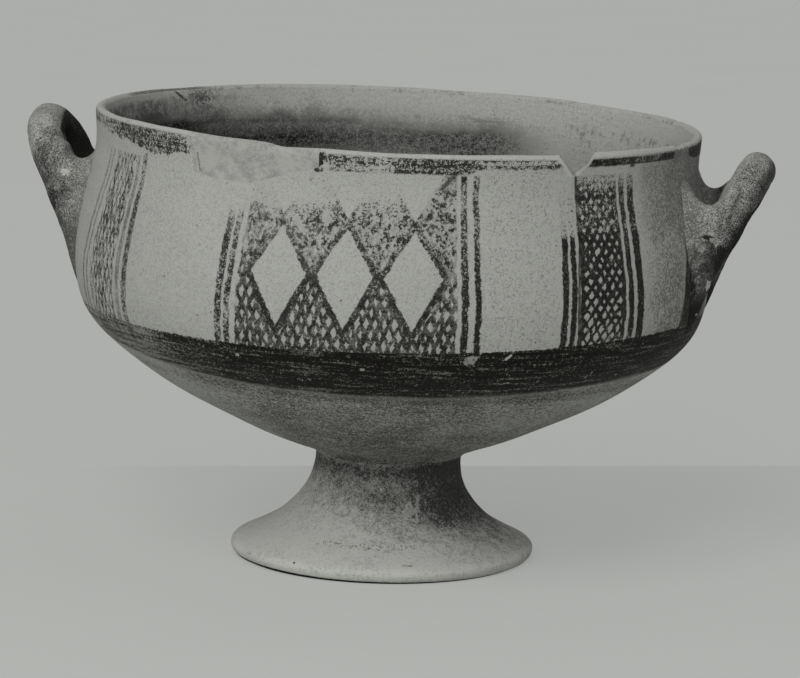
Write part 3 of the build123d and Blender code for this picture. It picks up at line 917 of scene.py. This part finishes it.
def handle_material(name, side):
    """Handle clay: pale worn tip, dark paint worn to a mottle, black outside and low down, the loop's inner sides
    dark with paint and painted shade.
    """
    g = Graph(name)
    mm = g.place()
    ramp, mix, clamp, most = g.ramp, g.mix, g.clamp, g.most
    ux, y, uz, psi = upright(g, mm)
    fine, grain, blot = (g.swing(mm, *kind) for kind in WALL_NOISE[:3])
    broad = g.swing(g.vmath("ADD", mm, (side * 30, 0, 0)), 0.10, 3, 0.55)
    # along the loop from its roots to its tip, and outward from the loop's plane
    rel_x, rel_z = ux * side - 97.4, uz - 90.5
    along = rel_x * 0.451 + rel_z * 0.892
    outward = rel_x * 0.892 - rel_z * 0.451
    calm = ramp(along, 30, 48, 1, 0.55)
    mottle = (broad * 1.2 + blot + grain * 0.9) * calm + fine * 2.8
    if side > 0:
        base = ramp(along, 30, 12) * 0.30 + ramp(outward, 1, 6) * ramp(along, 54, 36) * 0.72 + 0.38
        base = base - ramp(outward, -1, -6) * ramp(along, 34, 46) * 0.24
        base = base + ramp(outward, 1, 5) * ramp(along, 44, 54) * 0.42
        black = g.patch(mm, (114.6, -22.7, 111.9), (5.5, 9, 7), blot * 1.6) * 0.45
        base = base + black + ramp(uz + blot * 8, 106, 98) * 0.36
        base = base - g.patch(mm, (108, -24, 112), (4.5, 8, 9), blot) * 0.14
    else:
        base = ramp(along, 50, 14) * 0.34 + ramp(outward, 1, 6) * ramp(along, 50, 36) * 0.14 + 0.42
        base = base + g.stroke(mm, (-120.6, -19.4, 135), (-116, -20, 122), 4.5) * 0.26
        tip = g.patch(mm, (-118, -18, 142), (4, 8, 6), blot * 2) * 0.18
        base = base - ramp(along, 46, 58) * 0.16 + tip
    # inner sides of the arms: dark paint kept in the sheltered places, and painted shade there
    inside = ramp(abs(y), 19, 15.5) * ramp(along, 51, 45) * 0.85
    # painted shade: on the left handle, the far arm's inner face seen through the loop, dark up to the near arm's
    # edge
    if side < 0:
        inner = ramp(ux * 0.983 + y * 0.184 + ramp(uz, 128, 142) * 2.6, -115.5, -114.5)
        inside = most(inside, ramp(y, -12.5, -10.5) * ramp(y, 20, 17.5) * inner)
    tone = clamp(base + inside - mottle)
    col = mix(ramp(tone, 0, 0.5, smooth=False), grey(0.40), grey(0.15))
    col = mix(ramp(tone, 0.5, 1, smooth=False), col, grey(0.012))
    # near the wall the slip and the painted bands run on over the clay
    near = ramp(g.attr("off_wall") + blot * 6, 8, 1.5) * (ramp(uz, 98, 112) if side > 0 else 0.3)
    # on the right handle this slip tone carries the wall's painted shade and staining beside the root
    worn = side_shade_and_stain(g, psi, broad, blot, grain, fine) + 0.38 - fine * 2.4 - grain if side > 0 else 0.35 - fine
    col = mix(near * 0.75, col, mix(clamp(worn), SLIP, SLIP_DARK))
    low = ramp(uz + grain * 2.5 + blot * 3, 97, 91) * ramp(uz + grain * 2, 76.5, 78.5)
    if side > 0:
        past = stripe_edge(psi, uz)
        dark = ramp(past + blot * 2, -0.3, 0.5) * ramp(past + blot * 6, 4.6, 2.6)
        low = most(low, dark * ramp(uz + blot * 12, 124, 108) * ramp(y, -8, -14) * 0.95)
    col = mix(low, col, mix(clamp(fine * 3 + grain * 1.6 + 0.05), PAINT, grey(0.10)))
    if side > 0:
        light = g.marks(mm, (grain,), (((113.4, -21.3, 103.2), (1, 4, 2), (4,), 1),
                                       ((110, -23, 93.5), (0.5, 3, 0.6), (1,), 0.6)))
        chip = g.patch(mm, (112.6, -23.2, 120.2), (2, 4, 0.8), grain * 1.6 + fine)
        col = mix(chip * 0.9, col, PAINT)
    else:
        light = g.marks(mm, (grain,), (((-110.1, -20.6, 131.7), (2.1, 4, 1.9), (1.4,), 1),
                                       ((-106, -20.8, 122.6), (-103.8, -20.8, 122.9), 0.5, 0.8)))
    col = mix(light, col, grey(0.50))
    col = mix(clamp(speck(g, mm, 0.3, 0.06, 5) * 0.8), col, PAINT)
    height = grain * 0.14 + blot * 0.16 + fine * 0.10 - light * 0.1
    return g.finish(col, 0.86 + grain * 0.25, height, 0.9, 0.2)


def foot_material():
    g = Graph("foot_clay")
    mm = g.place()
    ramp, band, mix, clamp, most = g.ramp, g.band, g.mix, g.clamp, g.most
    x, y, z = g.separate(mm)
    fine, grain, blot, broad = (g.swing(mm, *kind) for kind in FOOT_NOISE)
    psi0 = g.math("ARCTAN2", x - z * 0.035, -y) * (180 / math.pi)
    _, psi = folded(g, psi0)
    # darker up the stem from a dark wash and painted shade, painted shade darkening the right side, and a little
    # darker just under the bowl
    level = z + psi * 0.12 + blot * 9 + grain * 5
    tone = ramp(level, 10, 28) * 0.70 + ramp(psi, 8, 62) * ramp(z, 7, 23) * 0.40
    tone = tone + ramp(z, 29, 33.5) * ramp(z, 36.5, 34) * 0.2 + broad * 0.5 + grain * 0.9 + fine * 1.5 + blot * 0.5
    ring = band(z + grain * 3 + blot * 2, 10, 11.4, 0.5) * band(psi, -22, 26, 4)
    dark = g.marks(mm, (), (
        ((18.6, -21.6, 23.3), (23.3, -23.6, 17), 3.2, ramp(grain + fine, -0.25, 0.1) * 0.45),
        ((16.4, -46.9, 6.1), (19, -46, 6.1), 0.6, ramp(fine, -0.2, 0.1) * 0.7),
        ((-21.2, -47.5, 4.8), (0.5, 0.8, 0.4), (), 0.9)))
    dark = most(dark, ring * ramp(grain + fine, 0.02, 0.2) * 0.8)
    col = mix(clamp(tone), grey(0.53), mix(clamp(0.4 - grain * 1.6 - fine * 2.4), grey(0.035), grey(0.085)))
    col = mix(dark, col, grey(0.03))
    light = g.marks(mm, (grain,), (
        ((16.5, -21.9, 25.3), (16.2, -24.4, 21.2), 0.9, 0.5), ((14.6, -26.2, 20.9), (2.6, 4, 2.4), (2.5,), 0.55),
        ((16.8, -26, 19.6), (17.4, -28, 17.2), 0.6, 0.5), ((-6.9, -32.3, 17.2), (1.3, 2, 1.2), (1.4,), 1),
        ((4.2, -26, 27.8), (0.45, 0.8, 0.45), (), 1), ((-17.7, -23, 22.3), (-10.9, -24.1, 27.5), 0.28, 0.5),
        ((22.7, -26, 15.7), (25.8, -39.8, 7.3), 1.7, ramp(fine + blot, -0.2, 0.1) * 0.4)))
    col = mix(light, col, grey(0.46))
    pale = ramp(g.noise(g.vmath("ADD", mm, (5, 2, 8)), 0.55, 3, 0.7), 0.62, 0.70) * ramp(tone, 0.8, 0.2) * 0.35
    col = mix(pale, col, grey(0.52))
    col = mix(clamp(speck(g, mm, 0.3, 0.06, 2) * 0.8), col, grey(0.04))
    # painted contact shadow along the lower edge, thicker at the front left
    under = g.table(psi0, ((-180, 0.4), (-100, 0.45), (-80, 0.8), (-55, 1.6), (-30, 1.45), (-10, 1.05), (20, 0.85),
                           (60, 0.6), (100, 0.4), (180, 0.4)))
    rim_r = g.math("SQRT", x * x + y * y)
    col = mix(ramp(z + grain * 0.5 - under, -0.12, 0.14, 1, 0) * ramp(rim_r, 49, 50), col, grey(0.006))
    height = grain * 0.10 + blot * 0.16 + fine * 0.07 + g.math("SINE", z * 2.2 + blot * 4) * 0.012 + pale * 0.1
    return g.finish(col, 0.9 + grain * 0.2, height, 0.9, 0.2)


# Foot
def foot_profile():
    edge_r = FOOT_RING + FOOT_SWELL
    run = edge_r - STEM
    flare = [(edge_r - run * w, FOOT_HEIGHT * u) for w, u in FLARE]
    edge = spline([(edge_r - 0.55, 1.5), (edge_r, FOOT_EDGE_Z), flare[0]], (0.5, 1), (-1, 0.55), 14)
    under = [(FOOT_RING - 1.2, 0), (FOOT_RING - 0.9, 0.45), (edge_r - 1.2, 0.75)]
    edge = np.concatenate([under, edge])
    stem = spline(flare + [(25.35, 34.0), (25.5, SEAT_Z)], (-1, 0.55), (0.1, 1), 60)
    hollow = spline([(FOOT_RING - FOOT_WALL, 0), (HOLLOW_NOSE, HOLLOW_DEPTH)], (-0.6, 1), (-0.45, 1), 26)
    return edge, stem, hollow


def foot_waves(r, z, ang):
    up = np.clip(z / 6, 0, 1)
    wave = 0.16 * np.sin(2 * ang + 1.9) + 0.10 * np.sin(5 * ang + 0.7) - 0.2
    k = 0.06 * np.sin(z * 1.3 + np.sin(ang))
    return r + up * (wave * np.clip(1 - z / 34, 0, 1) + k * np.clip(1 - z / 36, 0, 1)), z


def build_foot():
    edge, stem, hollow = foot_profile()
    roof = [(r, HOLLOW_DEPTH) for r in (HOLLOW_NOSE * 0.6, 0)]
    prof = [(0, SEAT_Z)] + [(SEAT_R * k, SEAT_Z) for k in (0.4, 0.75)] + stem[::-1].tolist()
    prof += edge[::-1].tolist()[1:] + [(FOOT_RING - FOOT_WALL * 0.5, 0)] + hollow.tolist() + roof
    verts, faces = revolve_closed(np.array(prof), FOOT_COLUMNS, foot_waves)
    faces = [tuple(reversed(f)) for f in faces]
    verts[:, 0] += STEM_SHIFT * np.clip(verts[:, 2] / SEAT_Z, 0, 1) ** 1.6
    ob = make_object("foot_flare", verts, faces)
    a, r = math.radians(-139), 53.4
    nick = chip_cutter("cut_foot_nick", (r * math.cos(a), r * math.sin(a), 4.2), (1.3, 2.2, 1.1), a, 31.0, 0.5)
    boolean(ob, nick, "DIFFERENCE")
    drop(nick)
    return ob


# Handles
def cad_copy(node, name):
    new = link(bpy.data.objects.new(name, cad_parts[node].data.copy()))
    new.data.materials.clear()
    return new


# Upper line of the clay in each crotch, (x, z) in mm from the wall to the coil, at the far and the near arm
CROTCH = {
    (1, 1): ((101.0, 146.0), (104.8, 139.4), (105.6, 136.3), (106.8, 133.6), (107.9, 132.1), (109.3, 131.4),
             (111.0, 131.7), (113.0, 133.0), (115.4, 135.0), (117.7, 137.2), (120.0, 140.5), (123.0, 141.0),
             (121.0, 132.0)),
    (1, -1): ((101.0, 144.0), (106.0, 137.0), (107.4, 134.3), (108.9, 132.1), (110.6, 130.9), (112.6, 130.4),
              (114.6, 131.1), (116.3, 132.7), (117.8, 135.3), (119.4, 137.9), (123.0, 138.0), (120.0, 129.0)),
    (-1, -1): ((-98.0, 144.0), (-101.1, 139.1), (-102.1, 137.7), (-103.5, 136.4), (-105.3, 135.8), (-107.1, 136.1),
               (-108.6, 137.4), (-109.7, 139.4), (-110.4, 142.2), (-115.0, 142.0), (-114.0, 133.0)),
    (-1, 1): ((-98.0, 143.0), (-101.8, 137.5), (-103.6, 135.1), (-106.0, 134.1), (-108.6, 134.0), (-110.9, 134.8),
              (-113.1, 136.3), (-114.6, 138.0), (-116.1, 140.4), (-118.0, 143.0), (-120.5, 142.0), (-117.0, 133.0)),
}
ARM_Y = 17.5        # how far the two arms of a loop stand from its middle
SKIN_GRID = 0.75    # the grid on which coil, crotches and wall become one skin


def crotch_fill(side, end):
    """Clay pressed into the crotch of one arm, rounded to its sides."""
    top = np.array(CROTCH[side, end], float)
    low = [(top[-1][0] - side * 7, 116.0), (side * 99.0, 116.0)]
    loops = []
    for off, sink in ((-5.6, 3.2), (-4.4, 1.3), (-2.4, 0.35), (0, 0), (2.4, 0.35), (4.4, 1.3), (5.6, 3.2)):
        line = [(x, z - sink) for x, z in top] + low
        loops.append(np.array([(x, end * ARM_Y + off, z) for x, z in line]))
    return layered_prism("crotch_fill", loops)


def wall_slab(side):
    """Slab of the wall under the roots, sunk a little, for the clay to run into."""
    ang = np.linspace(-34, 34, 60)
    zs = np.linspace(66, 150, 70)
    verts = []
    for depth in (0.95, 4.0):
        for z in zs:
            for a in np.radians(ang if side > 0 else 180 - ang):
                r = thrown_radius(z, a) - depth
                verts.append((r * math.cos(a), r * math.sin(a), z))
    idx = np.arange(len(verts)).reshape(2, len(zs), len(ang))
    faces = []
    for k, step in zip(idx, (1, -1)):
        quads = np.stack([k[:-1, :-1], k[:-1, 1:], k[1:, 1:], k[1:, :-1]], -1).reshape(-1, 4)
        faces += quads[:, ::step].tolist()
    for a, b in ((idx[0, 0, :], idx[1, 0, :]), (idx[1, -1, :], idx[0, -1, :]), (idx[1, :, 0], idx[0, :, 0]),
                 (idx[0, :, -1], idx[1, :, -1])):
        faces += np.stack([a[:-1], b[:-1], b[1:], a[1:]], -1).tolist()
    return tidy_faces(make_object("slab", lean_points(np.array(verts)), faces))


def build_handle(node, name, side, seed):
    """The coil from the CAD, its creases smoothed into the wall, with dents of the fingers."""
    ob = cad_copy(node, name)
    parts = [wall_slab(side), crotch_fill(side, 1), crotch_fill(side, -1)]
    join = bmesh.new()
    join.from_mesh(ob.data)
    for part in parts:
        join.from_mesh(part.data)
    bmesh.ops.remove_doubles(join, verts=join.verts, dist=1e-6)
    join.to_mesh(ob.data)
    join.free()
    drop(*parts)
    mod = ob.modifiers.new("skin", "REMESH")
    mod.mode = "VOXEL"
    mod.voxel_size = SKIN_GRID * MM
    apply_modifiers(ob)
    smooth_roots(ob)
    co = coords(ob)
    k = fbm(co, 0.10, seed, 2) * 0.35 + fbm(co, 0.28, seed + 2, 2) * 0.14 - 0.15
    nrm = np.empty(len(co) * 3)
    ob.data.vertex_normals.foreach_get("vector", nrm)
    w = wall_distance(co)
    co = co + nrm.reshape(-1, 3) * (k * np.clip((w - 0.5) / 6, 0, 1))[:, None]
    set_coords(ob, co)
    env = wall_envelope()
    boolean(ob, env, "DIFFERENCE")
    drop(env)
    add_attribute(ob, "off_wall", wall_distance(coords(ob)))
    return ob


def thrown_radius(z, ang):
    """Radius of the bowl's visible outer face at a height and a bearing from +X, in the upright frame."""
    return hand_thrown(np.interp(z, FINE_OUTER[:, 1], FINE_OUTER[:, 0]), z, ang)[0]


def wall_distance(co):
    """Distance of points outside the bowl's visible outer face, in mm."""
    up = lean_points(co, -1)
    return np.hypot(up[:, 0], up[:, 1]) - thrown_radius(up[:, 2], np.arctan2(up[:, 1], up[:, 0]))


def smooth_roots(ob):
    """Smoothing where the coil meets the wall, which makes a soft fillet, then a little of it everywhere."""
    ends = np.empty(len(ob.data.edges) * 2, np.int64)
    ob.data.edges.foreach_get("vertices", ends)
    a, b = ends.reshape(-1, 2).T
    co = coords(ob)
    met = np.bincount(ends, minlength=len(co)).astype(float)[:, None]
    d = wall_distance(co)
    near = np.clip((11.0 - d) / 6.0, 0, 1) * np.clip((d + 0.88) / 0.3, 0, 1)
    for turns, share in ((70, (0.6 * near)[:, None]), (4, 0.5)):
        for _ in range(turns):
            total = np.zeros_like(co)
            np.add.at(total, a, co[b])
            np.add.at(total, b, co[a])
            co += (total / met - co) * share
    set_coords(ob, co)


def wall_envelope():
    """Closed body just inside the bowl's visible wall, to trim a handle's inner end."""
    prof = [(0, 60)] + [(r, z) for r, z in FINE_OUTER[::12] if z > 60.0] + [(0, FINE_OUTER[-1][1])]

    def thrown(r, z, ang):
        return hand_thrown(r, z, ang)[0] - TRIM_DEPTH, z

    verts, faces = revolve_closed(np.array(prof), TRIM_COLUMNS, thrown)
    return make_object("envelope", lean_points(verts), faces)


# Make everything
bowl, sherd, plaster = build_bowl_pieces()
for ob in (bowl, sherd):
    seam = soften_joints(ob, mend_outline("sherd"), 0.40, 0.9, (40, 60), (0.12, 1.0))
    add_attribute(ob, "seam", seam * (seam > 0.15))
for ob in (bowl, sherd, plaster):
    soften_joints(ob, mend_outline("plaster"), 0.22, 0.8, (-50, -46, -10, -5), (1.0, 0.25, 0.2, 0.8))
    wall_attributes(ob)
foot = build_foot()
handle_l = build_handle("handle_left", "handle_left_coil", -1, 3.0)
handle_r = build_handle("handle_right", "handle_right_coil", 1, 8.0)

wall_mat = painted_wall("painted_wall")
clay_l, clay_r = handle_material("handle_clay_left", -1), handle_material("handle_clay_right", 1)
for piece, node, slot, material, angle in ((bowl, "bowl", "fired_clay", wall_mat, 38),
                                           (sherd, "front_sherd", "fired_clay", wall_mat, 38),
                                           (plaster, "rim_plaster", "plaster_fill", plaster_material(), 38),
                                           (foot, "foot", "fired_clay", foot_material(), 38),
                                           (handle_l, "handle_left", "fired_clay", clay_l, 50),
                                           (handle_r, "handle_right", "fired_clay", clay_r, 50)):
    dress(piece, material, angle)
    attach(piece, "root")
    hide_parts(node)


# Camera: place in mm from the foot, angles in degrees, focal length in pixels of the picture
CAM = dict(dist=1292.36, height=288.42, pitch=9.340, yaw=0.205, roll=1.504, focal=3759.09, turn=10.6)
WIDE, HIGH, FLOOR_LINE = 800, 678, 466
SENSOR = 36.0


def camera_axes():
    p, y, rho = (math.radians(CAM[k]) for k in ("pitch", "yaw", "roll"))
    fwd = Vector((math.sin(y) * math.cos(p), math.cos(y) * math.cos(p), -math.sin(p)))
    right = Vector((math.cos(y), -math.sin(y), 0))
    up = right.cross(fwd)
    r2 = math.cos(rho) * right + math.sin(rho) * up
    u2 = -math.sin(rho) * right + math.cos(rho) * up
    spin = Matrix.Rotation(math.radians(CAM["turn"]), 3, "Z")
    place = spin @ Vector((0, -CAM["dist"], CAM["height"])) * MM
    return place, spin @ r2, spin @ u2, spin @ fwd


place, right, up, fwd = camera_axes()
cam_data = bpy.data.cameras.new("camera")
cam_data.sensor_width = SENSOR
cam_data.sensor_fit = "HORIZONTAL"
cam_data.lens = CAM["focal"] / WIDE * SENSOR
cam_data.clip_start = 0.05
cam_data.clip_end = 20.0
cam = link(bpy.data.objects.new("camera", cam_data))
cam.matrix_world = Matrix.Translation(place) @ Matrix((right, up, -fwd)).transposed().to_4x4()
bpy.context.scene.camera = cam


def ray_to_floor(px, py):
    """Point of the floor seen at a pixel, in metres."""
    d = fwd + right * ((px - WIDE / 2) / CAM["focal"]) - up * ((py - HIGH / 2) / CAM["focal"])
    return place - d * (place.z / d.z)


# Floor, backdrop, light
def stage_material(name, value, seen_value, share):
    """Matt paper. What the camera sees of it is mostly an even tone, as in the photograph."""
    g = Graph(name)
    mm = g.place()
    n = g.noise(mm, 0.01, 3.0, 0.5)

    def paper(v, spread):
        return g.mix(n, *((k * 0.98, k, k * 0.962) for k in (v * (1 - spread), v * (1 + spread))))

    g.finish(paper(value, 0.03), 0.9, g.noise(mm, 0.8, 2.0, 0.5), 0.05, 0.1)
    glow = g.nt.nodes.new("ShaderNodeEmission")
    g.put(glow, "Color", paper(seen_value, 0.015))
    path = g.nt.nodes.new("ShaderNodeLightPath")
    both = g.nt.nodes.new("ShaderNodeMixShader")
    rays = [Sock(g, path.outputs[kind]) for kind in ("Is Camera Ray", "Is Glossy Ray", "Is Transmission Ray")]
    g.put(both, 0, g.most(*rays) * share)
    g.nt.links.new(g.bsdf.outputs[0], both.inputs[1])
    g.nt.links.new(glow.outputs[0], both.inputs[2])
    g.nt.links.new(both.outputs[0], g.out.inputs[0])
    return g.mat


def plane(name, corners, mat):
    ob = make_object(name, np.array([tuple(c) for c in corners]) / MM, [(0, 1, 2, 3)], mat)


# The floor ends at the line seen behind the cup, and both papers reach REACH metres to each side of it
PAPER, REACH = 0.62, 4.0
left_end, right_end = ray_to_floor(0, FLOOR_LINE), ray_to_floor(WIDE, FLOOR_LINE)
line = (right_end - left_end).normalized()
away = Vector((-line.y, line.x, 0))
mid = (left_end + right_end) * 0.5
far_l, far_r = mid - line * REACH, mid + line * REACH
near_l, near_r, beyond_l, beyond_r = (p + away * k for k in (-REACH, REACH) for p in (far_l, far_r))
plane("floor", [near_l, near_r, far_r, far_l], stage_material("floor_pale", PAPER, 0.462, 0.64))
plane("backdrop", [far_l, far_r, beyond_r, beyond_l], stage_material("backdrop_pale", PAPER, 0.437, 0.9))


def area_light(name, offset, target, size, power):
    data = bpy.data.lights.new(name, "AREA")
    data.shape = "SQUARE"
    data.size = size
    data.energy = power
    ob = link(bpy.data.objects.new(name, data))
    ob.location = offset
    ob.rotation_euler = (Vector(target) - offset).to_track_quat("-Z", "Y").to_euler()


def seen(side, depth, height):
    """Place given as seen by the camera: to its right, away from it and up, from the cup's foot."""
    r, f = (Vector((v.x, v.y, 0)).normalized() for v in (right, fwd))
    return r * side + f * depth + Vector((0, 0, height))


KEY_POWER, SKY = 24.0, 0.36
area_light("key", seen(-0.55, -1.53, 1.3), (0, 0, 0.09), 1.2, KEY_POWER)

world = bpy.data.worlds.new("world")
world.use_nodes = True
bg = world.node_tree.nodes["Background"]
bg.inputs[0].default_value = (1.0, 1.0, 1.0, 1.0)
bg.inputs[1].default_value = SKY
bpy.context.scene.world = world

bpy.context.scene.view_settings.view_transform = "Standard"
